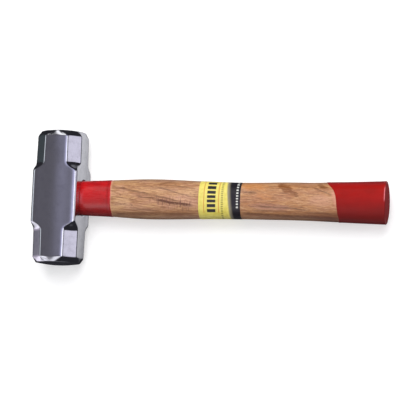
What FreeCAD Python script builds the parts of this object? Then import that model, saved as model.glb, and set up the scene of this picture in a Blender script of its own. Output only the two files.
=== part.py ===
import FreeCAD, Part
from FreeCAD import Vector
from itertools import product
from math import atan2, copysign, cos, pi, sin, sqrt
import os

# Double-faced lump hammer lying on one cheek of its head. Millimetres, +Z up.
# Origin: centre of the cheek it lies on. +X runs down the handle to the butt,
# +Y and -Y are the two striking faces.

# --- head: square mid-block whose corners are cut away towards both ends ---
HEAD_WIDTH = 46.0           # across the cheeks, and along the handle
HEAD_LENGTH = 131.0         # crown to crown over the two striking faces
CORNER_CUT = 11.2           # leg of the 45 degree cut that makes the ends octagonal
CUT_FLOOR_Y = 32.4          # where the flat floor of each corner cut starts
SHOULDER_Y = 21.8           # where the sloping shoulder meets the uncut corner
RIM_Y = 59.0                # where the bevel round a striking face starts
DRAFT_Y = 30.0              # from here the ends narrow towards their rims
RIM_INSET = 0.4             # by this much at the rim, on every side
FACE_RADIUS = 21.6          # round striking face inside the bevel
CROWN = 2.0                 # rise of the striking face at its centre
EDGE_ROUND = 2.5            # rounding of the corners, the cuts and their shoulders
RIM_ROUND = 1.0             # rounding where the octagon meets the bevel
FACE_ROUND = 1.5            # rounding where the bevel meets the striking face
MOUTH_CHAMFER = 0.8         # eased edge of the eye at both mouths

# --- wood: sections along the handle axis, (x, upper, lower, half thickness) ---
# The first ones fill the hourglass eye of the head, the rest are the handle.
EYE_SECTIONS = [(-30.0, 16.8, -16.8, 11.9), (-14.0, 15.9, -15.9, 11.0),
                (2.0, 15.6, -15.6, 10.7), (16.0, 16.3, -16.4, 11.3)]
HANDLE_SECTIONS = [(32.0, 16.6, -16.9, 12.0), (50.0, 17.4, -17.4, 12.4),
                   (70.0, 18.4, -18.6, 13.0), (88.0, 19.0, -19.3, 13.4),
                   (110.0, 18.8, -19.1, 13.4), (135.0, 17.9, -18.4, 12.8),
                   (160.0, 17.1, -17.8, 12.3), (180.0, 16.8, -17.7, 12.2),
                   (205.0, 17.2, -17.8, 12.4), (235.0, 17.6, -18.0, 12.9),
                   (265.0, 18.1, -18.8, 13.5), (293.0, 18.8, -19.6, 14.1),
                   (318.3, 19.8, -20.3, 14.5), (330.0, 20.3, -20.7, 14.7)]
OVAL_POWER = 2.3            # 2 is an ellipse, more is boxier
EYE_MOUTH_X = HEAD_WIDTH / 2
TENON_END_X = -HEAD_WIDTH / 2 + 0.8    # the tenon stops a little inside the eye
BUTT_END_X = 319.5          # crown of the domed butt
BUTT_DOME_RADIUS = 131.5
BUTT_ROUND = 1.0            # rounding of the rim of the butt

# --- skins on the wood: dipped paint at both ends, and a wrapped label ---
PAINT_THICKNESS = 0.2
NECK_PAINT_X = 52.4         # end of the neck paint, on the handle axis
NECK_PAINT_TILT = (-0.14, 0.10)
BUTT_PAINT_X = 267.8        # start of the butt paint, on the handle axis
BUTT_PAINT_TILT = (-0.28, 0.39)
LABEL_X = (141.0, 181.5)
LABEL_THICKNESS = 0.15

# --- wedges driven into the tenon: (thick end, thin end, depth) ---
TIMBER_WEDGE = (4.0, 0.8, 31.0)
STEEL_WEDGE = (2.6, 0.5, 20.0)
STEEL_WEDGE_WIDTH = 14.0
STEEL_WEDGE_Y = 7.5


def prism(points, along):
    """Solid swept from a closed polygon."""
    return Part.Face(Part.makePolygon(points + points[:1])).extrude(along)


def oval(x, upper, lower, half_width):
    """Closed oval curve in the plane of one handle section."""
    middle = (upper + lower) / 2
    reach = (upper - lower) / 2
    points = []
    for step in range(24):
        angle = 2 * pi * step / 24
        c, s = cos(angle), sin(angle)
        y = middle + reach * copysign(abs(c) ** (2 / OVAL_POWER), c)
        z = half_width * copysign(abs(s) ** (2 / OVAL_POWER), s)
        points.append(Vector(x, y, z))
    curve = Part.BSplineCurve()
    curve.interpolate(Points=points, PeriodicFlag=True)
    return Part.Wire(curve.toShape())


def oval_bar(grow):
    """Whole length of the wood, grown outwards by a skin thickness."""
    wires = [oval(x, upper + grow, lower - grow, half + grow)
             for x, upper, lower, half in EYE_SECTIONS + HANDLE_SECTIONS]
    bar = Part.makeLoft(wires, True, False)
    radius = BUTT_DOME_RADIUS + grow
    centre = Vector(BUTT_END_X - BUTT_DOME_RADIUS, 0, 0)
    beyond = slab(300, 345).cut(Part.makeSphere(radius, centre))
    bar = bar.cut(beyond).Solids[0]
    butt = max(bar.Faces, key=lambda face: face.CenterOfMass.x)
    return bar.makeFillet(BUTT_ROUND + grow, butt.Edges)


def slab(x_from, x_to):
    """Box that keeps only a length of the handle."""
    return Part.makeBox(x_to - x_from, 120, 120, Vector(x_from, -60, -60))


def tilted_slab(x, tilt, length):
    """Block whose first face is the tilted plane of a dipped paint line."""
    corners = [Vector(x + tilt[0] * y + tilt[1] * z, y, z)
               for y, z in ((-60, -60), (60, -60), (60, 60), (-60, 60))]
    return prism(corners, Vector(length, 0, 0))


# ---------------------------------------------------------------- head
def corner_cutter(side_x, side_y, side_z):
    """Tool that cuts one corner of one end, with its sloping shoulder."""
    outward = Vector(side_x, 0, side_z).normalize()
    along = Vector(0, side_y, 0)
    across = outward.cross(Vector(0, 1, 0))
    corner = HEAD_WIDTH / sqrt(2)
    floor = corner - CORNER_CUT / sqrt(2)
    slope = (CUT_FLOOR_Y - SHOULDER_Y) / (corner - floor)
    over = 8.0
    profile = [(CUT_FLOOR_Y, floor), (SHOULDER_Y - slope * over, corner + over),
               (RIM_Y, corner + over), (RIM_Y, floor - RIM_INSET)]
    points = [along * y + outward * d - across * 30 for y, d in profile]
    return prism(points, across * 60)


def tapered_bar():
    """Square bar whose two ends narrow a little towards the rims."""
    half = HEAD_WIDTH / 2
    rim = half - RIM_INSET
    outline = [(half, -DRAFT_Y), (half, DRAFT_Y), (rim, RIM_Y), (-rim, RIM_Y),
               (-half, DRAFT_Y), (-half, -DRAFT_Y), (-rim, -RIM_Y), (rim, -RIM_Y)]
    along_z = prism([Vector(x, y, -half) for x, y in outline], Vector(0, 0, 2 * half))
    along_x = prism([Vector(-half, y, z) for z, y in outline], Vector(2 * half, 0, 0))
    return along_z.common(along_x)


def edges_in_plane(shape, axis, distance):
    """Edges that lie in either plane square to an axis, at a distance from the middle."""
    found = []
    for edge in shape.Edges:
        box = edge.BoundBox
        low, high = (box.XMin, box.XMax) if axis == "x" else (box.YMin, box.YMax)
        if high - low < 0.02 and abs(abs(low) - distance) < 0.02:
            found.append(edge)
    return found


def round_wire(outline, y, radius):
    """Circle split where the octagon outline is split, for a clean bevel."""
    angles = [atan2(v.Point.z, v.Point.x) for v in outline.OrderedVertexes]
    edges = []
    for start, end in zip(angles, angles[1:] + angles[:1]):
        turn = (end - start + pi) % (2 * pi) - pi
        arc = [Vector(radius * cos(a), y, radius * sin(a))
               for a in (start, start + turn / 2, start + turn)]
        edges.append(Part.Arc(*arc).toShape())
    return Part.Wire(edges)


def face_end(block, side):
    """Bevel and slightly crowned round face on one end of the head."""
    end_face = max(block.Faces, key=lambda face: side * face.CenterOfMass.y)
    outline = end_face.OuterWire
    face_y = HEAD_LENGTH / 2 - CROWN
    circle = round_wire(outline, side * face_y, FACE_RADIUS)
    bevel = Part.makeLoft([outline, circle], True, True)
    sphere_radius = (FACE_RADIUS ** 2 + CROWN ** 2) / (2 * CROWN)
    centre = Vector(0, side * (HEAD_LENGTH / 2 - sphere_radius), 0)
    cap = Part.makeSphere(sphere_radius, centre)
    axis = Vector(0, side, 0)
    core = Part.makeCylinder(FACE_RADIUS, 10, Vector(0, side * face_y, 0), axis)
    return bevel.fuse(core.common(cap))


def make_head(eye):
    cutters = [corner_cutter(*sides) for sides in product((-1, 1), repeat=3)]
    block = tapered_bar().cut(cutters).Solids[0]
    left_sharp = edges_in_plane(block, "y", DRAFT_Y) + edges_in_plane(block, "y", RIM_Y)
    sharp_hashes = {edge.hashCode() for edge in left_sharp}
    rounded = [edge for edge in block.Edges if edge.hashCode() not in sharp_hashes]
    block = block.makeFillet(EDGE_ROUND, rounded)
    head = block.fuse([face_end(block, side) for side in (-1, 1)]).removeSplitter()
    face_y = HEAD_LENGTH / 2 - CROWN
    head = head.makeFillet(FACE_ROUND, edges_in_plane(head, "y", face_y))
    head = head.makeFillet(RIM_ROUND, edges_in_plane(head, "y", RIM_Y))
    head = head.cut(eye)
    mouths = [edge for edge in edges_in_plane(head, "x", HEAD_WIDTH / 2)
              if 20 < edge.BoundBox.YLength < 40 and edge.BoundBox.ZLength > 15]
    return head.makeChamfer(MOUTH_CHAMFER, mouths)


# ---------------------------------------------------------------- wedges
def wedge_tool(thick, thin, depth, direction, width, offset):
    """Tapered blade driven in from the tenon end; direction is its thickness."""
    across = Vector(1, 0, 0).cross(direction)
    tip_x = TENON_END_X + depth
    points = [Vector(TENON_END_X, 0, 0) + direction * (thick / 2),
              Vector(TENON_END_X, 0, 0) - direction * (thick / 2),
              Vector(tip_x, 0, 0) - direction * (thin / 2),
              Vector(tip_x, 0, 0) + direction * (thin / 2)]
    moved = [p + offset - across * (width / 2) for p in points]
    return prism(moved, across * width)


# ---------------------------------------------------------------- build
wood = oval_bar(0.0)
painted = oval_bar(PAINT_THICKNESS)
labelled = oval_bar(LABEL_THICKNESS)
eye = wood.common(slab(-28, 28))

timber_blade = wedge_tool(*TIMBER_WEDGE, Vector(0, 0, 1), 50, Vector(0, 0, 0))
steel_blades = [wedge_tool(*STEEL_WEDGE, Vector(0, 1, 0), STEEL_WEDGE_WIDTH,
                           Vector(0, side * STEEL_WEDGE_Y, 0)) for side in (1, -1)]
neck_end = tilted_slab(NECK_PAINT_X, NECK_PAINT_TILT, 400)
butt_start = tilted_slab(BUTT_PAINT_X, BUTT_PAINT_TILT, 100)

parts = {
    "head": make_head(eye),
    "handle": wood.common(slab(TENON_END_X, 340)).cut([timber_blade] + steel_blades),
    "timber_wedge": timber_blade.common(wood).cut(steel_blades),
    "steel_wedge_1": steel_blades[0],
    "steel_wedge_2": steel_blades[1],
    "neck_paint": painted.common(slab(EYE_MOUTH_X, 120)).cut([wood, neck_end]),
    "butt_paint": painted.common(butt_start).cut(wood),
    "label": labelled.common(slab(*LABEL_X)).cut(wood),
}

os.makedirs("parts", exist_ok=True)
for name, shape in parts.items():
    if len(shape.Solids) != 1:
        raise RuntimeError(name + " is not one solid")
    solid = shape.Solids[0]
    solid.translate(Vector(0, 0, HEAD_WIDTH / 2))
    solid.exportStep("parts/" + name + ".step")
    print(name, solid.isValid(), round(solid.Volume), solid.BoundBox)
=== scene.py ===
from math import copysign, cos, pi, radians, sin, sqrt

import bmesh
import bpy
from mathutils import Matrix, Vector, noise


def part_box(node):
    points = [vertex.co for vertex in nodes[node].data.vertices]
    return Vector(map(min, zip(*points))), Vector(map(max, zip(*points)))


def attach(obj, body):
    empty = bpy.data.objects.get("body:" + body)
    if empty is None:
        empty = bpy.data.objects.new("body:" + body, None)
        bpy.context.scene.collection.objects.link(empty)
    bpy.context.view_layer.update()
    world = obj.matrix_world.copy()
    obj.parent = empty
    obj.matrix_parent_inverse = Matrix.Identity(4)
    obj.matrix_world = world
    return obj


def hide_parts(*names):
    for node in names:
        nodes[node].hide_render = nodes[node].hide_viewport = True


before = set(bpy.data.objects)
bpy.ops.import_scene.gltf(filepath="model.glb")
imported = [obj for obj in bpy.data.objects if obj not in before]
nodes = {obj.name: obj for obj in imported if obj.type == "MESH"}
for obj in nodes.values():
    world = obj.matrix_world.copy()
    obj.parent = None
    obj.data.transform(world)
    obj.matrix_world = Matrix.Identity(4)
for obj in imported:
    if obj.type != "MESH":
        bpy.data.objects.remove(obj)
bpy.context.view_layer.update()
scene = bpy.context.scene
scene.view_settings.view_transform = "Standard"
MM = 0.001

# ------------------------------------------------------------------ camera
LOOK_AT = Vector((0.1394, -0.0001, 0.023))
DISTANCE = 1.8
BUTT_LEAN = radians(14.82)         # how far the camera leans towards the butt
FACE_LEAN = radians(5.74)          # how far it leans towards the -Y face
ROLL = radians(2.37)
LENS = 170.5                       # mm, on a 36 mm sensor


def make_camera():
    back = Vector((sin(BUTT_LEAN) * cos(FACE_LEAN), -sin(FACE_LEAN),
                   cos(BUTT_LEAN) * cos(FACE_LEAN)))
    right = Vector((0, 1, 0)).cross(back).normalized()
    up = back.cross(right)
    right, up = (cos(ROLL) * right + sin(ROLL) * up,
                 cos(ROLL) * up - sin(ROLL) * right)
    data = bpy.data.cameras.new("camera")
    data.lens = LENS
    data.sensor_width = 36
    data.clip_start = 0.05
    data.clip_end = 20
    camera = bpy.data.objects.new("camera", data)
    turn = Matrix((right, up, back)).transposed().to_4x4()
    camera.matrix_world = Matrix.Translation(LOOK_AT + DISTANCE * back) @ turn
    bpy.context.collection.objects.link(camera)
    scene.camera = camera


# ------------------------------------------------------------------ node helpers
class Nodes:
    """Short names for the shader nodes that the materials are built from."""

    def __init__(self, tree):
        self.tree = tree

    def add(self, kind, **settings):
        node = self.tree.nodes.new("ShaderNode" + kind)
        for name, value in settings.items():
            setattr(node, name, value)
        return node

    def put(self, socket, value):
        if isinstance(value, bpy.types.NodeSocket):
            self.tree.links.new(value, socket)
        elif isinstance(value, (tuple, list)) and len(value) == 3 and socket.type == "RGBA":
            socket.default_value = (*value, 1)
        else:
            socket.default_value = value

    def math(self, operation, *values, clamp=False):
        node = self.add("Math", operation=operation, use_clamp=clamp)
        for socket, value in zip(node.inputs, values):
            self.put(socket, value)
        return node.outputs[0]

    def vector(self, operation, *values):
        node = self.add("VectorMath", operation=operation)
        sockets = [s for s in node.inputs if s.enabled]
        for socket, value in zip(sockets, values):
            self.put(socket, value)
        return node.outputs["Value" if operation == "DOT_PRODUCT" else "Vector"]

    def times(self, first, *others):
        """Product of two or more values."""
        for other in others:
            first = self.math("MULTIPLY", first, other)
        return first

    def span(self, value, low, high, to_low=0.0, to_high=1.0):
        """Smooth step from to_low at low to to_high at high."""
        node = self.add("MapRange", interpolation_type="SMOOTHSTEP")
        for socket, number in zip(node.inputs, (value, low, high, to_low, to_high)):
            self.put(socket, number)
        return node.outputs[0]

    def between(self, value, low, high, soft):
        """1 from low to high and 0 outside, with edges of half width soft."""
        return self.times(self.span(value, low - soft, low + soft),
                          self.span(value, high + soft, high - soft))

    def blend(self, share, first, second):
        """Mix of two colours, by the colour sockets of the node."""
        node = self.add("Mix", data_type="RGBA")
        self.put(node.inputs[0], share)
        self.put(node.inputs[6], first)
        self.put(node.inputs[7], second)
        return node.outputs[2]

    def tint(self, base, colour, *shares):
        """The base, covered by a colour by the product of the shares."""
        return self.blend(self.times(*shares), base, colour)

    def noise(self, where, waves, detail=3.0, rough=0.5):
        """Noise with this many waves in a metre along x, y and z."""
        node = self.add("TexNoise")
        stretched = self.vector("MULTIPLY", where, waves)
        for name, value in (("Vector", stretched), ("Scale", 1.0), ("Detail", detail),
                            ("Roughness", rough)):
            self.put(node.inputs[name], value)
        return node.outputs["Fac"]

    def place(self):
        """Position on the object, in metres, and its three parts."""
        where = self.add("TexCoord").outputs["Object"]
        parts = self.add("SeparateXYZ")
        self.put(parts.inputs[0], where)
        return where, parts.outputs[0], parts.outputs[1], parts.outputs[2]

    def bump(self, height, distance, under=None):
        node = self.add("Bump")
        self.put(node.inputs["Height"], height)
        node.inputs["Distance"].default_value = distance
        if under is not None:
            self.put(node.inputs["Normal"], under)
        return node.outputs[0]


def new_material(name):
    """A material, its nodes and its shader."""
    material = bpy.data.materials.new(name)
    material.use_nodes = True
    tree = material.node_tree
    shader = tree.nodes["Principled BSDF"]
    return material, Nodes(tree), shader


# ------------------------------------------------------------------ sizes
head_low, head_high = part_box("head")
HEAD_HALF = (head_high[0] - head_low[0]) / 2
AXIS_Z = (head_high[2] + head_low[2]) / 2
FACE_Y = head_high[1]                  # crown of a striking face
BUTT_END_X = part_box("butt_paint")[1][0]

CORNER_CUT = 11.2 * MM                 # leg of the cut that makes the ends octagonal
WAIST_CUT = 1.0 * MM                   # leg of the small cut along the middle's corners
SHOULDER = (22.8 * MM, 33.4 * MM)      # the cut grows between these distances
SHOULDER_LEAD = 4.0 * MM               # and starts this much sooner at its edges
DRAFT_Y = 30.0 * MM                    # the ends taper from here
RIM_Y = 59.0 * MM                      # to here,
RIM_INSET = 0.4 * MM                   # by this much on each side
BEVEL_START_Y = 58.2 * MM              # the octagon is bevelled from here
BEVEL_Y = 62.8 * MM                    # to here,
BEVEL_RADIUS = 21.8 * MM               # where it has become round
FACE_RADIUS = 20.1 * MM                # crowned part of the striking face
CROWN = 1.9 * MM

# sections of the wood along its axis, in mm: x, upper, lower, half thickness
SECTIONS = [(-30.0, 16.8, -16.8, 11.9), (-14.0, 15.9, -15.9, 11.0),
            (2.0, 15.6, -15.6, 10.7), (16.0, 16.3, -16.4, 11.3),
            (32.0, 16.6, -16.9, 12.0), (50.0, 17.4, -17.4, 12.4),
            (70.0, 18.4, -18.6, 13.0), (88.0, 19.0, -19.3, 13.4),
            (110.0, 18.8, -19.1, 13.4), (135.0, 17.9, -18.4, 12.8),
            (160.0, 17.1, -17.8, 12.3), (180.0, 16.8, -17.7, 12.2),
            (205.0, 17.2, -17.8, 12.4), (235.0, 17.6, -18.0, 12.9),
            (265.0, 18.1, -18.8, 13.5), (293.0, 18.8, -19.6, 14.1),
            (318.3, 19.8, -20.3, 14.5), (330.0, 20.3, -20.7, 14.7)]
OVAL_POWER = 2.3


def ease(value, start, end):
    """0 before start, 1 after end, and a smooth step between them."""
    share = min(max((value - start) / (end - start), 0.0), 1.0)
    return share * share * (3 - 2 * share)


def section(x):
    """Upper, lower and half thickness of the wood at x, all in metres, as a smooth curve
    through the sections."""
    place = max(i for i in range(1, len(SECTIONS) - 2) if SECTIONS[i][0] * MM <= x or i == 1)
    before, left, right, after = ([value * MM for value in row]
                                  for row in SECTIONS[place - 1:place + 3])
    span = right[0] - left[0]
    t = (x - left[0]) / span
    values = []
    for k in (1, 2, 3):
        slope_left = (right[k] - before[k]) / (right[0] - before[0]) * span
        slope_right = (after[k] - left[k]) / (after[0] - left[0]) * span
        values.append((2 * t ** 3 - 3 * t ** 2 + 1) * left[k]
                      + (t ** 3 - 2 * t ** 2 + t) * slope_left
                      + (3 * t ** 2 - 2 * t ** 3) * right[k]
                      + (t ** 3 - t ** 2) * slope_right)
    return values


def wood_point(x, turn, lift):
    """Point over the oval wood: turn goes round from +Y over the top, lift stands off it."""
    upper, lower, half = section(x)
    c, s = cos(turn), sin(turn)
    y = (upper - lower + 2 * lift) / 2 * copysign(abs(c) ** (2 / OVAL_POWER), c)
    z = (half + lift) * copysign(abs(s) ** (2 / OVAL_POWER), s)
    return Vector((x, (upper + lower) / 2 + y, AXIS_Z + z))


# ------------------------------------------------------------------ mesh helpers
def new_piece(name, points, faces):
    """Object of a mesh whose faces all look outwards."""
    mesh = bpy.data.meshes.new(name)
    mesh.from_pydata(points, [], faces)
    mesh.validate()
    sorter = bmesh.new()
    sorter.from_mesh(mesh)
    bmesh.ops.recalc_face_normals(sorter, faces=sorter.faces)
    sorter.to_mesh(mesh)
    sorter.free()
    piece = bpy.data.objects.new(name, mesh)
    bpy.context.collection.objects.link(piece)
    return piece


def smooth(piece, degrees):
    for polygon in piece.data.polygons:
        polygon.use_smooth = True
    piece.data.set_sharp_from_angle(angle=radians(degrees))


def turns(count):
    return [2 * pi * k / count for k in range(count)]


def grid_faces(rows, columns, closed=False):
    """Quads between the rows of a grid. Each row closes on itself, and where the grid is
    closed its last row meets its first."""
    return [(row * columns + k, row * columns + (k + 1) % columns,
             (row + 1) % rows * columns + (k + 1) % columns, (row + 1) % rows * columns + k)
            for row in range(rows if closed else rows - 1) for k in range(columns)]


def capped_skin(name, rings, first_pole, last_pole):
    """Closed skin over rings of equal length, with a fan to a pole at either end."""
    count = len(rings[0])
    points = [point for ring in rings for point in ring]
    first, last = len(points), len(points) + 1
    last_ring = len(points) - count
    faces = grid_faces(len(rings), count)
    faces += [(first, (k + 1) % count, k) for k in range(count)]
    faces += [(last, last_ring + k, last_ring + (k + 1) % count) for k in range(count)]
    return new_piece(name, points + [first_pole, last_pole], faces)


# ------------------------------------------------------------------ head
WAIST_POWER = 17                   # how tightly the cheeks and sides meet in the middle
END_POWER = 20                     # and at the ends
CUT_POWER = 64                     # how tightly the corner cuts meet them
SIDE_CROWN = 0.011                 # how much the sides fall away towards their edges
CUT_SPREAD = 0.43                  # cosine less sine of the turn at a cut's edges
CUT_CROWN = 0.06                   # how much the cuts fall away towards their edges
HEAD_COLUMNS = 400
BEVEL_BEND = 1.35                  # how much the bevel is rounded
BEVEL_STEPS, RIM_STEPS, FACE_STEPS = 16, 14, 12
WAVE_HEIGHT = 0.05 * MM            # of the forging's soft waves
WAVES = 55                         # in a metre


def head_radius(turn, reach):
    """Distance from the head's long axis to its side, at a distance from its middle."""
    half = HEAD_HALF - RIM_INSET * max(reach - DRAFT_Y, 0) / (RIM_Y - DRAFT_Y)
    across, upward = abs(cos(turn)), abs(sin(turn))
    aside = min(((across - upward) / CUT_SPREAD) ** 2, 1)
    grown = ease(reach, SHOULDER[0] - SHOULDER_LEAD * aside, SHOULDER[1])
    cut = WAIST_CUT + (CORNER_CUT - WAIST_CUT) * grown
    power = WAIST_POWER + (END_POWER - WAIST_POWER) * ease(reach, *SHOULDER)
    square = ((across / half) ** power + (upward / half) ** power) ** (1 / power)
    lean = (across - upward) / (across + upward)
    corner = (across + upward) / (2 * half - cut) * (1 + CUT_CROWN * lean ** 2)
    crown = SIDE_CROWN * (2 * across * upward) ** 2
    return (1 - crown) * (square ** CUT_POWER + corner ** CUT_POWER) ** (-1 / CUT_POWER)


def head_rings():
    """Rings of (turn, radius, reach), from the middle of the head to that of a face."""
    stations = [2 * k * MM for k in range(8)]                  # plain middle,
    stations += [(16 + 0.6 * k) * MM for k in range(38)]       # shoulders,
    stations += [(39 + 1.5 * k) * MM for k in range(13)]       # and octagonal end
    sides = [(reach, 0.0) for reach in stations]
    for k in range(BEVEL_STEPS + 1):
        share = k / BEVEL_STEPS
        sides.append((BEVEL_START_Y + (BEVEL_Y - BEVEL_START_Y) * share, share ** BEVEL_BEND))
    ends = []
    for k in range(1, RIM_STEPS + 1):
        swing = pi / 2 * k / RIM_STEPS
        ends.append((FACE_RADIUS + (BEVEL_RADIUS - FACE_RADIUS) * cos(swing),
                     BEVEL_Y + (FACE_Y - CROWN - BEVEL_Y) * sin(swing)))
    for k in range(1, FACE_STEPS):
        share = 1 - k / FACE_STEPS
        ends.append((FACE_RADIUS * share, FACE_Y - CROWN * share ** 2))
    columns = turns(HEAD_COLUMNS)
    rings = [[(turn, head_radius(turn, reach) * (1 - bevel) + BEVEL_RADIUS * bevel, reach)
              for turn in columns] for reach, bevel in sides]
    return rings + [[(turn, radius, reach) for turn in columns] for radius, reach in ends]


def forged_point(turn, radius, reach, side):
    """Point on the forging with its soft waves, on the +Y or -Y side."""
    point = Vector((radius * cos(turn), side * reach, AXIS_Z + radius * sin(turn)))
    outward = Vector((cos(turn), 0, sin(turn)))
    fade = 1 - ease(reach, RIM_Y, BEVEL_Y)
    wave = noise.noise(point * WAVES) - 1.0
    return point + outward * (WAVE_HEIGHT * fade * wave)


def build_head():
    half = head_rings()
    rings = [[forged_point(*column, 1) for column in ring] for ring in reversed(half)]
    rings += [[forged_point(*column, -1) for column in ring] for ring in half[1:]]
    return capped_skin("head_forging", rings,
                       Vector((0, FACE_Y, AXIS_Z)), Vector((0, -FACE_Y, AXIS_Z)))


EYE_FLARE = 1.4 * MM               # how far the eye's mouths open out
EYE_FLARE_DEPTH = 2.2 * MM
PAST_FLARE = 1.4                   # the flare goes on this many depths, past the mouth
PAST_EYE = 2 * MM                  # the plug stands out of the head by this much
EYE_STEPS, EYE_COLUMNS = 72, 120


def build_eye():
    """Oval plug the shape of the hourglass eye, flared at both mouths."""
    rings = []
    reach = HEAD_HALF + PAST_EYE
    for k in range(EYE_STEPS + 1):
        x = -reach + 2 * reach * k / EYE_STEPS
        depth = (abs(x) - HEAD_HALF + EYE_FLARE_DEPTH) / EYE_FLARE_DEPTH
        lift = EYE_FLARE * min(max(depth, 0), PAST_FLARE) ** 2
        rings.append([wood_point(x, turn, lift) for turn in turns(EYE_COLUMNS)])
    return capped_skin("eye_plug", rings,
                       Vector((-reach, 0, AXIS_Z)), Vector((reach, 0, AXIS_Z)))


def cut_away(piece, tool):
    """Cuts the tool out of the piece and removes it."""
    cut = piece.modifiers.new("cut", "BOOLEAN")
    cut.operation = "DIFFERENCE"
    cut.solver = "MANIFOLD"
    cut.object = tool
    shaped = piece.evaluated_get(bpy.context.evaluated_depsgraph_get())
    mesh = bpy.data.meshes.new_from_object(shaped)
    piece.modifiers.clear()
    piece.data = mesh
    bpy.data.objects.remove(tool)


# ------------------------------------------------------------------ skins on the wood
PAINT = 0.20 * MM
PAINT_SINK = 0.15 * MM             # the inside of a skin lies this deep in the wood
PAINT_EDGE = 0.7 * MM              # width of a coat's rounded edge
BEAD = 0.09 * MM                   # how much thicker a coat is just behind its edge
BEAD_RISE = (0.2 * MM, 1.0 * MM)   # the bead rises and falls between these distances
BEAD_FALL = (1.4 * MM, 4.0 * MM)
LABEL = 0.14 * MM
SKIN_COLUMNS = 180
COAT_STEPS = 70


def coat_thickness(distance):
    """Thickness of a dipped coat at a distance from its edge."""
    rise = min(max(distance / PAINT_EDGE, 0.0), 1.0)
    bead = ease(distance, *BEAD_RISE) - ease(distance, *BEAD_FALL)
    return PAINT * sqrt(rise * (2 - rise)) + BEAD * bead


WOBBLE_SLOW, WOBBLE_QUICK = 1.6, 6     # radii of the circles in the noise that it follows
QUICK_SHARE = 0.4
QUICK_SEED = 9


def wobble(turn, seed, size):
    """Small unevenness round the handle, the same where the turn closes."""
    slow = noise.noise(Vector((WOBBLE_SLOW * cos(turn), WOBBLE_SLOW * sin(turn), seed)))
    quick = noise.noise(Vector((WOBBLE_QUICK * cos(turn), WOBBLE_QUICK * sin(turn),
                                seed + QUICK_SEED)))
    return size * (slow + QUICK_SHARE * quick)


# dip lines as tilted planes, in mm: x at the axis, and what +Y and +Z sides add to it
NECK_LINE = (53.0, -0.9, 0.9)
BUTT_LINE = (267.8, -5.2, 5.3)
NECK_SINK = 1.2 * MM               # the neck's coat goes this far into the eye


def tilted(turn, line):
    return line[0] + line[1] * cos(turn) + line[2] * sin(turn)


def neck_edge(turn):
    return tilted(turn, NECK_LINE) * MM + wobble(turn, 3.0, 0.5 * MM)


def butt_edge(turn):
    """The butt's dip line has a slow ripple and one notch."""
    ripple = 0.8 * cos(3 * (turn - radians(62)))
    notch = 2.2 * max(cos(turn - radians(34)), 0) ** 12
    return (tilted(turn, BUTT_LINE) + ripple - notch) * MM + wobble(turn, 7.0, 0.4 * MM)


def coat_wall(edge, end, crowding):
    """Outer and inner rings of a coat from its dip line to end, closest together at the line."""
    outer, inner = [], []
    for row in range(COAT_STEPS + 1):
        share = (row / COAT_STEPS) ** crowding
        places = [(edge(turn) + (end - edge(turn)) * share, turn)
                  for turn in turns(SKIN_COLUMNS)]
        outer.append([wood_point(x, turn, coat_thickness(abs(x - edge(turn))))
                      for x, turn in places])
        inner.append([wood_point(x, turn, -PAINT_SINK) for x, turn in places])
    return outer, inner


def build_neck_paint():
    outer, inner = coat_wall(neck_edge, HEAD_HALF - NECK_SINK, crowding=1.6)
    rings = outer[::-1] + inner
    points = [point for ring in rings for point in ring]
    return new_piece("neck_coat", points, grid_faces(len(rings), SKIN_COLUMNS, closed=True))


BUTT_RADIUS = 18 * MM
BUTT_DOME_RADIUS = 131.7 * MM
BUTT_CORNER = 0.8 * MM             # rounding of the rim of the butt
CORNER_STEPS, DOME_STEPS = 10, 14


def dome_x(radius):
    return BUTT_END_X - BUTT_DOME_RADIUS + sqrt(BUTT_DOME_RADIUS ** 2 - radius ** 2)


def build_butt_paint():
    """Dipped butt: up the side from the dip line, round the rim and over the dome."""
    rim_x = dome_x(BUTT_RADIUS) - BUTT_CORNER
    outer, inner = coat_wall(butt_edge, rim_x, crowding=1.5)
    centre = Vector((rim_x, 0, AXIS_Z))
    rim = outer[-1]
    for step in range(1, CORNER_STEPS + 1):
        swing = pi / 2 * step / CORNER_STEPS
        ring = []
        for point in rim:
            top = dome_x((point - centre).length - BUTT_CORNER)
            inset = point + (centre - point).normalized() * (BUTT_CORNER * (1 - cos(swing)))
            ring.append(Vector((rim_x + (top - rim_x) * sin(swing), inset.y, inset.z)))
        outer.append(ring)
    corner = outer[-1]
    for step in range(1, DOME_STEPS):
        share = 1 - step / DOME_STEPS
        ring = []
        for point in corner:
            flat = Vector((0, point.y, point.z - AXIS_Z)) * share
            ring.append(Vector((dome_x(flat.length), flat.y, AXIS_Z + flat.z)))
        outer.append(ring)
    return capped_skin("butt_coat", inner[::-1] + outer,
                       centre, Vector((BUTT_END_X, 0, AXIS_Z)))


LABEL_START = radians(-80)
LABEL_LAP = radians(10)
LABEL_LIFT = 0.01 * MM             # the film lies this far off the wood
LAP_CLIMB = (1.6, 0.9)             # laps before its end where the film climbs onto its start
LAP_LIFT = 1.05                    # by this many thicknesses
FILM_EDGE = 0.12 * MM              # width of the film's thinned edges
FILM_EDGE_SHARE = 0.25             # share of the thickness that is left at the very edge
FILM_SINK = 0.02 * MM              # its inner side lies this far below its base
LABEL_STEPS, LABEL_ROWS = 300, 46


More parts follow.
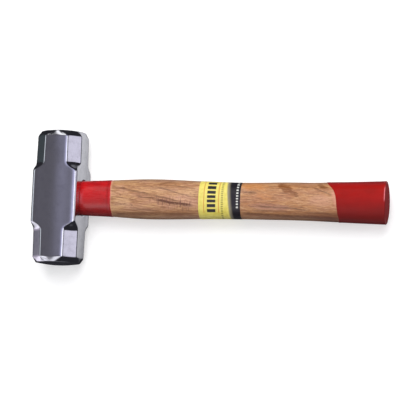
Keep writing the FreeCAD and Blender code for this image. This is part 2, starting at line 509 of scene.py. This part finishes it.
def build_label():
    """Film wrapped once round the handle, with its end lapped over its start underneath."""
    low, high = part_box("label")
    width = high[0] - low[0]
    whole = 2 * pi + LABEL_LAP
    strips = []
    for step in range(LABEL_STEPS + 1):
        gone = whole * step / LABEL_STEPS
        turn = LABEL_START + gone
        over = ease(gone, whole - LAP_CLIMB[0] * LABEL_LAP, whole - LAP_CLIMB[1] * LABEL_LAP)
        base = LABEL_LIFT + LABEL * LAP_LIFT * over
        top, under = [], []
        for row in range(LABEL_ROWS + 1):
            share = row / LABEL_ROWS
            edge = min(share, 1 - share) * width
            thick = LABEL * min(edge / FILM_EDGE + FILM_EDGE_SHARE, 1.0)
            x = low[0] + width * share
            top.append(wood_point(x, turn, base + thick))
            under.append(wood_point(x, turn, base - FILM_SINK))
        strips.append(top + under[::-1])
    count = len(strips[0])
    points = [point for strip in strips for point in strip]
    faces = grid_faces(len(strips), count)
    faces.append(tuple(range(count)))
    faces.append(tuple(reversed(range(len(points) - count, len(points)))))
    return new_piece("label_film_wrap", points, faces)


# ------------------------------------------------------------------ steel
GRIND_RELIEF = 0.003 * MM
STAIN_SHADE = 0.88                 # how bright the stains are beside the steel
STAIN_ROUGHNESS = 0.1              # how much the roughness changes with them


def steel_material(name, colour, roughness):
    """Steel with faint stains and the marks of grinding."""
    material, n, shader = new_material(name)
    where = n.place()[0]
    grind = n.noise(where, (260, 2600, 2600))
    stains = n.noise(where, (160, 160, 160), 4.0, 0.6)
    stained = [part * STAIN_SHADE for part in colour]
    n.put(shader.inputs["Base Color"], n.blend(n.span(stains, 0.4, 0.75), colour, stained))
    shader.inputs["Metallic"].default_value = 1.0
    uneven = n.math("MULTIPLY", n.math("SUBTRACT", stains, 0.5), STAIN_ROUGHNESS)
    n.put(shader.inputs["Roughness"], n.math("ADD", roughness, uneven))
    n.put(shader.inputs["Normal"], n.bump(grind, GRIND_RELIEF))
    return material


# ------------------------------------------------------------------ wood
# dark growth lines on the upper side, in mm: from (x, y) to (x, y), thickness, strength
GRAIN_LINES = [(56, 11.5, 98, 2.6, 1.7, 0.50), (92, 3.8, 128, -3.2, 1.6, 0.45),
               (76, 2.4, 106, -1.0, 1.4, 0.45), (96, -0.6, 138, -6.4, 2.6, 0.95),
               (54, -6.0, 76, -6.2, 1.2, 0.55), (54, 1.1, 72, -0.1, 0.9, 0.40),
               (94, 12.8, 138, 1.0, 1.6, 0.45), (95, 12.2, 118, 17.4, 1.4, 0.45),
               (110, 13.4, 140, 9.6, 1.2, 0.35), (72, -10.8, 106, -12.4, 1.4, 0.45),
               (54, -14.8, 140, -13.6, 2.2, 0.55), (180, 7.9, 200, 6.4, 1.5, 0.60),
               (182, 0.3, 200, -0.9, 1.2, 0.40), (196, -5.9, 242, -8.0, 1.3, 0.50),
               (228, -7.8, 250, -9.8, 1.0, 0.65), (180, -12.2, 278, -15.9, 2.4, 0.70),
               (190, -9.4, 236, -10.6, 1.2, 0.40), (246, 14.6, 272, 3.4, 1.2, 0.50),
               (252, 15.5, 264, 11.0, 1.6, 0.55), (240, -11.2, 276, -12.6, 1.3, 0.45)]
# soft marks on the upper side, in mm: centre, half size, lean, colour, strength
GRAIN_MARKS = [((192, 12.2), (17, 4.6), -0.10, (0.46, 0.180, 0.045), 0.62),
               ((204, 3.4), (9, 3.6), -0.20, (0.46, 0.185, 0.060), 0.55),
               ((223.5, 11.6), (7.5, 4.2), -0.45, (0.160, 0.045, 0.006), 0.95),
               ((232.5, 6.6), (6.0, 2.0), -0.60, (0.150, 0.045, 0.010), 0.92),
               ((259.5, 13.0), (6.0, 2.6), -0.35, (0.165, 0.050, 0.008), 0.95),
               ((210, -6.8), (22, 3.0), -0.05, (0.30, 0.145, 0.110), 0.55),
               ((258, -1.0), (13, 6.0), 0.0, (0.56, 0.300, 0.205), 0.40),
               ((130, -2.0), (12, 6.5), -0.2, (0.52, 0.280, 0.190), 0.55),
               ((66, -4.0), (9, 5.0), 0.0, (0.60, 0.370, 0.200), 0.50),
               ((75.5, -7.0), (1.2, 1.8), 0.0, (0.10, 0.040, 0.020), 0.70),
               ((64, 3.4), (0.8, 1.6), 0.0, (0.12, 0.050, 0.025), 0.60)]
RING_SLOPE = 0.16                  # the fainter growth rings run out of the handle
RING_TILT = 0.9                    # and lie askew in it
RING_PITCH = 3.4 * MM
LINE_FADE = 9 * MM                 # length of a growth line's thin ends
DIP_SLOPES = (-0.29, 0.41)         # slopes of the butt's dip line over y and z

LIGHT_WOOD = (0.475, 0.260, 0.118)
BROWN_WOOD = (0.345, 0.163, 0.072)
ROSY_WOOD = (0.42, 0.210, 0.132)
BUTT_WOOD = (0.31, 0.118, 0.036)
# painted shade, low on the -Y side and along the +Y edge of the wood:
LOW_SHADE_WOOD = (0.255, 0.125, 0.070)
LOW_BUTT_SHADE_WOOD = (0.150, 0.052, 0.030)
DARK_BUTT_X = (225 * MM, 268 * MM)     # the painted shade turns from LOW_SHADE_WOOD into LOW_BUTT_SHADE_WOOD along here
TOP_EDGE_SHADE_WOOD = (0.24, 0.14, 0.085)
PINK_STAIN = (0.64, 0.27, 0.20)
PALE_FIBRE = (0.60, 0.37, 0.20)
DARK_FIBRE = (0.205, 0.085, 0.038)
PORE = (0.12, 0.048, 0.024)
FAINT_RING = (0.19, 0.075, 0.032)
GROWTH_LINE = (0.095, 0.034, 0.015)
RAY_FLECK = (0.12, 0.045, 0.030)
FIBRE_RELIEF = 0.05 * MM


def line_mask(n, x, y, line):
    """Growth line: crisp on its upper edge, fading below, thin at both ends."""
    x0, y0, x1, y1, thick = (value * MM for value in line[:5])
    slope = (y1 - y0) / (x1 - x0)
    fall = n.math("MULTIPLY_ADD", x, -slope, slope * x0 - y0)
    below = n.math("ADD", y, fall)
    return n.times(n.span(below, -thick * 1.3, -thick * 0.3), n.span(below, thick * 0.4, 0.0),
                   n.span(x, x0, x0 + LINE_FADE), n.span(x, x1, x1 - LINE_FADE), line[5])


def mark_mask(n, x, y, centre, size, lean):
    """Soft oval mark."""
    dx = n.math("SUBTRACT", x, centre[0] * MM)
    dy = n.math("SUBTRACT", n.math("SUBTRACT", y, centre[1] * MM), n.math("MULTIPLY", dx, lean))
    across = n.math("DIVIDE", dx, size[0] * MM)
    upward = n.math("DIVIDE", dy, size[1] * MM)
    away = n.math("ADD", n.math("MULTIPLY", across, across), n.math("MULTIPLY", upward, upward))
    return n.span(away, 1.35, 0.25)


def drift(n, where, waves, detail, size):
    """Distance that wanders over the wood by up to half of size either way."""
    return n.math("MULTIPLY", n.math("SUBTRACT", n.noise(where, waves, detail), 0.5), size)


def wood_ground(n, where, x):
    """Colour of the wood in soft long patches, warmer and darker towards the butt."""
    tone = n.noise(where, (30, 110, 110), 4.0, 0.6)
    blush = n.noise(where, (50, 150, 150))
    base = n.blend(n.span(tone, 0.40, 0.60), LIGHT_WOOD, BROWN_WOOD)
    base = n.tint(base, ROSY_WOOD, n.span(blush, 0.48, 0.62), 0.6)
    return n.tint(base, BUTT_WOOD, n.span(x, 176 * MM, 190 * MM), 0.55)


def faint_rings(n, where, x, y, z, slow, quick):
    """Share of the faint growth rings, which go all round and come and go in patches."""
    level = n.math("ADD", n.math("MULTIPLY_ADD", x, RING_SLOPE, y),
                   n.math("MULTIPLY_ADD", z, RING_TILT, slow))
    ring = n.math("FRACT", n.math("DIVIDE", n.math("ADD", level, quick), RING_PITCH))
    late = n.times(n.span(ring, 0.35, 0.9), n.span(ring, 1.0, 0.93))
    return n.times(late, n.span(n.noise(where, (40, 110, 110), 2.0), 0.42, 0.62))


def growth_lines(n, where, x, y):
    """Share of the strong growth lines, which are broken along their length."""
    lines = 0.0
    for line in GRAIN_LINES:
        lines = n.math("MAXIMUM", lines, line_mask(n, x, y, line))
    return n.times(lines, n.span(n.noise(where, (420, 300, 300)), 0.34, 0.56, 0.90, 1.35))


def ray_flecks(n, where, x, y):
    """Share of the short ray flecks that cross the grain beside one growth line."""
    rays = n.span(n.noise(where, (700, 110, 110), 2.0), 0.54, 0.64)
    beside = n.math("MULTIPLY_ADD", x, 0.16, y)
    return n.times(rays, n.between(beside, 9 * MM, 19 * MM, 4 * MM),
                   n.between(x, 93 * MM, 136 * MM, 6 * MM))


def paint_stain(n, x, y, z):
    """Share of the pink stain along both dip lines."""
    dip = n.math("MULTIPLY_ADD", z, DIP_SLOPES[1], BUTT_LINE[0] * MM - DIP_SLOPES[1] * AXIS_Z)
    dip = n.math("MULTIPLY_ADD", y, DIP_SLOPES[0], dip)
    short = n.math("SUBTRACT", dip, x)
    stain = n.times(n.span(short, 5 * MM, 0.5 * MM), n.between(y, -6 * MM, 9 * MM, 4 * MM))
    return n.math("MAXIMUM", stain, n.span(x, 55.6 * MM, 53.0 * MM))


def wood_material():
    material, n, shader = new_material("varnished_wood")
    where, x, y, z = n.place()
    slow = drift(n, where, (30, 70, 70), 2.0, 6 * MM)
    quick = drift(n, where, (160, 420, 420), 3.0, 3.2 * MM)
    bent_y = n.math("ADD", y, n.math("MULTIPLY", slow, 0.45))
    fine_y = n.math("ADD", bent_y, quick)
    line_y = n.math("MULTIPLY_ADD", quick, 0.45, bent_y)
    fine_x = n.math("MULTIPLY_ADD", quick, 2.5, x)
    upper_side = n.span(z, AXIS_Z - 4 * MM, AXIS_Z + 3 * MM)
    fibre = n.noise(where, (60, 1000, 1000), 5.0, 0.7)
    pale = n.noise(where, (150, 1600, 1600), 3.0, 0.6)
    pores = n.span(n.noise(where, (260, 2200, 2200), 2.0), 0.58, 0.70)

    base = wood_ground(n, where, x)
    base = n.tint(base, PALE_FIBRE, n.span(pale, 0.5, 0.66), 0.60)
    base = n.tint(base, DARK_FIBRE, n.span(fibre, 0.48, 0.64), 0.85)
    streaked = n.times(n.span(pale, 0.42, 0.66, 1.0, 0.55), upper_side)
    for centre, size, lean, colour, strength in GRAIN_MARKS:
        mask = mark_mask(n, fine_x, fine_y, centre, size, lean)
        base = n.tint(base, colour, mask, strength, streaked)
    base = n.tint(base, PORE, pores, 0.70)
    base = n.tint(base, FAINT_RING, faint_rings(n, where, x, y, z, slow, quick), 0.60)
    base = n.tint(base, GROWTH_LINE, growth_lines(n, where, x, line_y), upper_side)
    base = n.tint(base, RAY_FLECK, ray_flecks(n, where, x, y), upper_side, 0.85)

    # painted shade: the wood is darker and browner low on the -Y side, most of all near the
    # butt, and along the +Y side, where the light falls off
    low_shade_colour = n.blend(n.span(x, *DARK_BUTT_X), LOW_SHADE_WOOD, LOW_BUTT_SHADE_WOOD)
    low_shade_share = n.span(x, *DARK_BUTT_X, 0.42, 0.80)
    base = n.tint(base, low_shade_colour, n.span(fine_y, -8 * MM, -15 * MM), low_shade_share)
    base = n.tint(base, TOP_EDGE_SHADE_WOOD, n.span(fine_y, 14 * MM, 18 * MM), 0.5)
    base = n.tint(base, PINK_STAIN, paint_stain(n, x, y, z), 0.5)
    n.put(shader.inputs["Base Color"], base)
    n.put(shader.inputs["Roughness"], n.span(fibre, 0.3, 0.7, 0.34, 0.50))
    shader.inputs["Coat Weight"].default_value = 0.3
    shader.inputs["Coat Roughness"].default_value = 0.2
    relief = n.math("MULTIPLY_ADD", pores, -0.7, fibre)
    n.put(shader.inputs["Normal"], n.bump(relief, FIBRE_RELIEF))
    return material


END_RINGS = 500                    # growth rings in a metre
RING_BEND = 10 * MM                # how far they wander
END_PALE = (0.42, 0.22, 0.11)
END_DARK = (0.26, 0.12, 0.055)
END_SPECK = (0.16, 0.07, 0.03)


def end_grain_material():
    material, n, shader = new_material("end_grain")
    where, _, y, z = n.place()
    bend = n.math("MULTIPLY", n.noise(where, (60, 60, 60)), RING_BEND)
    level = n.math("ADD", n.math("ADD", y, z), bend)
    ring = n.math("FRACT", n.math("MULTIPLY", level, END_RINGS))
    speck = n.noise(where, (2200, 2200, 2200), 2.0)
    base = n.blend(n.span(ring, 0.5, 1.0), END_PALE, END_DARK)
    base = n.tint(base, END_SPECK, n.span(speck, 0.5, 0.7))
    n.put(shader.inputs["Base Color"], base)
    shader.inputs["Roughness"].default_value = 0.7
    n.put(shader.inputs["Normal"], n.bump(speck, 0.1 * MM))
    return material


# ------------------------------------------------------------------ paint
CLOUD_RELIEF = 0.4 * MM
BRUSH_RELIEF = 0.02 * MM
# painted highlight on the butt's rim, and painted shade on its end:
RIM_HIGHLIGHT_RED = (0.60, 0.17, 0.19)
END_SHADE_RED = (0.16, 0.006, 0.008)


def paint_material(name, colour, dark, roughness, coat, specular):
    """Red paint, with painted shade and a painted highlight. Of the marks in it, each coat shows
    the ones that lie on it.
    """
    material, n, shader = new_material(name)
    where, x, y, _ = n.place()
    cloud = n.noise(where, (60, 90, 90))
    grain = n.noise(where, (70, 900, 900))
    base = n.blend(n.span(cloud, 0.35, 0.7), colour, dark)
    # painted shade: both coats are darker low on the -Y side and along the +Y side, where the
    # light falls off
    base = n.tint(base, (dark[0] * 0.5, 0.014, 0.014), n.span(y, 6 * MM, -16 * MM), 0.75)
    base = n.tint(base, (dark[0] * 0.6, 0.010, 0.012), n.span(y, 14 * MM, 18 * MM), 0.6)
    # the neck's coat has a darker band just before its dip line
    band = n.between(x, 49.6 * MM, 51.6 * MM, 0.8 * MM)
    base = n.tint(base, (dark[0] * 0.6, 0.004, 0.005), band, 0.45)
    # painted highlight on one side of the butt's rim, where the light catches it; painted shade
    # on its end, which is darker and also duller
    # painted highlight: the rim is paler where the light catches it
    rim = n.between(x, BUTT_END_X - 2.0 * MM, BUTT_END_X - 0.9 * MM, 0.2 * MM)
    base = n.tint(base, RIM_HIGHLIGHT_RED, rim, n.between(y, 0.5 * MM, 13 * MM, 2 * MM), 0.80)
    # painted shade: the end is darker, and its roughness rises too
    shaded_dull_end = n.times(n.span(x, BUTT_END_X - 1.4 * MM, BUTT_END_X - 1.0 * MM), 0.85)
    base = n.tint(base, END_SHADE_RED, shaded_dull_end)
    n.put(shader.inputs["Base Color"], base)
    rough = n.span(grain, 0.3, 0.7, roughness - 0.05, roughness + 0.08)
    n.put(shader.inputs["Roughness"], n.math("MULTIPLY_ADD", shaded_dull_end, 0.6, rough))
    shader.inputs["Coat Weight"].default_value = coat
    shader.inputs["Coat Roughness"].default_value = 0.08
    shader.inputs["Specular IOR Level"].default_value = specular
    under = n.bump(cloud, CLOUD_RELIEF)
    n.put(shader.inputs["Normal"], n.bump(grain, BRUSH_RELIEF, under))
    return material


# ------------------------------------------------------------------ label
PRINT_RADIUS = 15.5                # mm, of the wood under the print
PRINT_SOFT = 0.18                  # mm, half width of the print's edges along the handle
ROUND_SOFT = 0.3                   # mm, the same round it
ROUND_SHIFT = 100.0                # mm, makes every place round the handle positive
ROUND_END = 60                     # mm, past the far side of the handle
YELLOWS = ((0.64, 0.55, 0.125), (0.58, 0.49, 0.09))
FRAME_LINE = (0.50, 0.27, 0.05)
BAR = (0.018, 0.016, 0.018)
DASH = (0.12, 0.11, 0.03)
GREY_EDGE = (0.20, 0.175, 0.12)
BLACK_BAND = (0.011, 0.009, 0.012)
WHITE_DASH = (0.60, 0.60, 0.56)


def repeats(n, round_mm, pitch, low, high, soft):
    """Marks that repeat round the handle, each from low to high of its pitch."""
    step = n.math("FRACT", n.math("DIVIDE", n.math("ADD", round_mm, ROUND_SHIFT), pitch))
    return n.between(step, low, high, soft)


def label_material():
    """Generic print: yellow field with a frame and a row of plain bars, then a black band.
    Places are in mm, along the handle from the label's edge and round it from the top."""
    material, n, shader = new_material("label_print")
    where, x, y, z = n.place()
    along = n.math("DIVIDE", n.math("SUBTRACT", x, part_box("label")[0][0]), MM)
    turn = n.math("ARCTAN2", y, n.math("SUBTRACT", z, AXIS_Z))
    round_mm = n.math("MULTIPLY", turn, PRINT_RADIUS)
    cloud = n.noise(where, (260, 260, 260), 2.0)
    base = n.blend(n.span(cloud, 0.4, 0.7), *YELLOWS)

    frame_lines = n.math("ADD", n.between(along, 4.9, 5.8, PRINT_SOFT),
                         n.between(along, 19.2, 20.2, PRINT_SOFT), clamp=True)
    base = n.tint(base, FRAME_LINE, frame_lines,
                  n.between(round_mm, -14.5, ROUND_END, ROUND_SOFT))
    bars = n.times(repeats(n, round_mm, 5.0, 0.14, 0.80, 0.05),
                   n.between(along, 8.4, 16.6, PRINT_SOFT))
    base = n.tint(base, BAR, bars, n.between(round_mm, -14.0, ROUND_END, ROUND_SOFT))
    dashes = repeats(n, round_mm, 2.1, 0.2, 0.8, 0.08)
    base = n.tint(base, DASH, dashes, n.between(along, 21.9, 23.9, PRINT_SOFT), 0.75)

    # the yellow turns grey and then black past a line that lies a little askew
    past = n.math("SUBTRACT", along, n.math("MULTIPLY_ADD", round_mm, -0.09, 28.3))
    base = n.tint(base, GREY_EDGE, n.span(past, -0.8, 1.0))
    base = n.tint(base, BLACK_BAND, n.span(past, 1.0, 4.2))
    white = n.times(repeats(n, round_mm, 3.2, 0.14, 0.64, 0.08),
                    n.between(along, 36.5, 38.5, PRINT_SOFT))
    base = n.tint(base, WHITE_DASH, white, n.between(round_mm, -10.5, ROUND_END, ROUND_SOFT),
                  0.85)
    n.put(shader.inputs["Base Color"], base)
    wear = n.noise(where, (300, 900, 900))
    n.put(shader.inputs["Roughness"], n.span(wear, 0.3, 0.7, 0.30, 0.46))
    creases = n.noise(where, (60, 120, 120), 2.0)
    n.put(shader.inputs["Normal"], n.bump(creases, 0.3 * MM))
    return material


# ------------------------------------------------------------------ stage
def lobe(n, direction, axis, inner, outer, colour):
    """A soft round panel of light in the surroundings."""
    dot = n.vector("DOT_PRODUCT", direction, tuple(Vector(axis).normalized()))
    share = n.span(dot, cos(radians(outer)), cos(radians(inner)))
    scale = n.add("VectorMath", operation="SCALE")
    n.put(scale.inputs[0], colour)
    n.put(scale.inputs["Scale"], share)
    return scale.outputs[0]


# soft panels round the object: direction, inner and outer half angle, colour
PANELS = [((-0.35, -0.20, 0.92), 22, 46, (0.115, 0.11, 0.125)),
          ((0.52, -0.02, 0.85), 12, 25, (1.50, 1.50, 1.60)),
          ((0.13, 0.12, 0.985), 10, 28, (0.60, 0.60, 0.86)),
          ((0.97, 0.12, 0.19), 9, 22, (0.98, 0.95, 1.10)),
          ((0.45, 0.45, -0.77), 19, 33, (0.78, 0.78, 0.80)),
          ((-0.22, -0.46, 0.86), 6, 18, (1.10, 1.10, 1.15)),
          ((-0.52, -0.45, 0.72), 5, 17, (0.80, 0.80, 0.85)),
          ((-0.57, -0.67, 0.48), 5, 14, (0.80, 0.80, 0.85)),
          ((-0.77, -0.38, 0.50), 5, 18, (0.85, 0.82, 0.90)),
          ((-0.78, -0.54, -0.31), 12, 24, (0.90, 0.88, 0.95)),
          ((-0.85, -0.50, 0.10), 10, 22, (0.90, 0.88, 0.95)),
          ((-0.82, 0.10, 0.56), 8, 20, (0.90, 0.96, 1.00)),
          ((-0.93, -0.26, -0.25), 12, 23, (0.52, 0.46, 0.56)),
          ((-0.95, 0.22, -0.20), 8, 22, (0.04, 0.055, 0.055)),
          ((-0.27, 0.71, 0.65), 5, 12, (1.20, 1.20, 1.20)),
          ((-0.24, 0.51, 0.82), 3, 9, (1.60, 1.60, 1.60)),
          ((0.0, -0.96, -0.28), 8, 24, (0.32, 0.32, 0.34)),
          ((0.0, 0.96, -0.28), 8, 22, (0.26, 0.26, 0.28))]
ROOM = (0.030, 0.030, 0.036)
BACKDROP = (0.80, 0.80, 0.82)      # what the camera sees past the edge of the floor
FILL = 0.25                        # how much of the panels lights matt surfaces


def make_world():
    world = bpy.data.worlds.new("studio")
    world.use_nodes = True
    scene.world = world
    n = Nodes(world.node_tree)
    direction = n.add("TexCoord").outputs["Generated"]
    total = ROOM
    for panel in PANELS:
        total = n.vector("ADD", total, lobe(n, direction, *panel))
    background = world.node_tree.nodes["Background"]
    path = n.add("LightPath")
    seen = path.outputs["Is Camera Ray"]
    n.put(background.inputs["Color"], n.blend(seen, total, BACKDROP))
    direct = n.math("MAXIMUM", seen, path.outputs["Is Glossy Ray"])
    n.put(background.inputs["Strength"], n.span(direct, 0, 1, FILL, 1.0))


def area_light(name, where, size, power):
    """Round light that faces the object and isn't mirrored in it."""
    data = bpy.data.lights.new(name, "AREA")
    data.shape = "DISK"
    data.size = size
    data.energy = power
    light = bpy.data.objects.new(name, data)
    light.location = Vector(where)
    light.rotation_mode = "QUATERNION"
    light.rotation_quaternion = (light.location - LOOK_AT).to_track_quat("Z", "Y")
    light.visible_glossy = False
    bpy.context.collection.objects.link(light)


FLOOR_REACH = 4
FLOOR_GLOW = 0.50


def make_floor():
    corners = [(FLOOR_REACH * x, FLOOR_REACH * y, 0)
               for x, y in ((-1, -1), (1, -1), (1, 1), (-1, 1))]
    floor = new_piece("floor", corners, [(0, 1, 2, 3)])
    material, n, shader = new_material("pale_floor")
    speckle = n.noise(n.place()[0], (900, 900, 900), 2.0)
    n.put(shader.inputs["Base Color"], n.blend(speckle, (0.56, 0.56, 0.56), (0.58, 0.58, 0.58)))
    shader.inputs["Roughness"].default_value = 0.9
    shader.inputs["Emission Color"].default_value = (1, 1, 1, 1)
    shader.inputs["Emission Strength"].default_value = FLOOR_GLOW
    floor.data.materials.append(material)
    floor.visible_glossy = False


# ------------------------------------------------------------------ build
def dress(piece, material):
    piece.data.materials.clear()
    piece.data.materials.append(material)


def stand_for(piece, node, material, sharp):
    """The piece is shown instead of a CAD node."""
    smooth(piece, sharp)
    dress(piece, material)
    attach(piece, "root")
    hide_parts(node)


make_camera()
make_floor()
make_world()
area_light("key", (0.25, 0.9, 1.45), 1.7, 34)
area_light("top", (0.1, -0.1, 1.8), 1.8, 16)
area_light("side", (1.6, 0.4, 0.5), 0.8, 5)

head = build_head()
cut_away(head, build_eye())
polished = steel_material("polished_steel", (0.60, 0.60, 0.64), 0.13)
stand_for(head, "head", polished, 35)
neck_red = paint_material("neck_red", (0.43, 0.006, 0.008), (0.31, 0.005, 0.007),
                          roughness=0.3, coat=0.30, specular=0.5)
stand_for(build_neck_paint(), "neck_paint", neck_red, 40)
butt_red = paint_material("butt_red", (0.27, 0.005, 0.004), (0.235, 0.005, 0.004),
                          roughness=0.45, coat=0.04, specular=0.12)
stand_for(build_butt_paint(), "butt_paint", butt_red, 40)
stand_for(build_label(), "label", label_material(), 40)

dress(nodes["handle"], wood_material())
dress(nodes["timber_wedge"], end_grain_material())
wedge_steel = steel_material("wedge_steel", (0.42, 0.42, 0.43), 0.35)
for wedge in ("steel_wedge_1", "steel_wedge_2"):
    dress(nodes[wedge], wedge_steel)
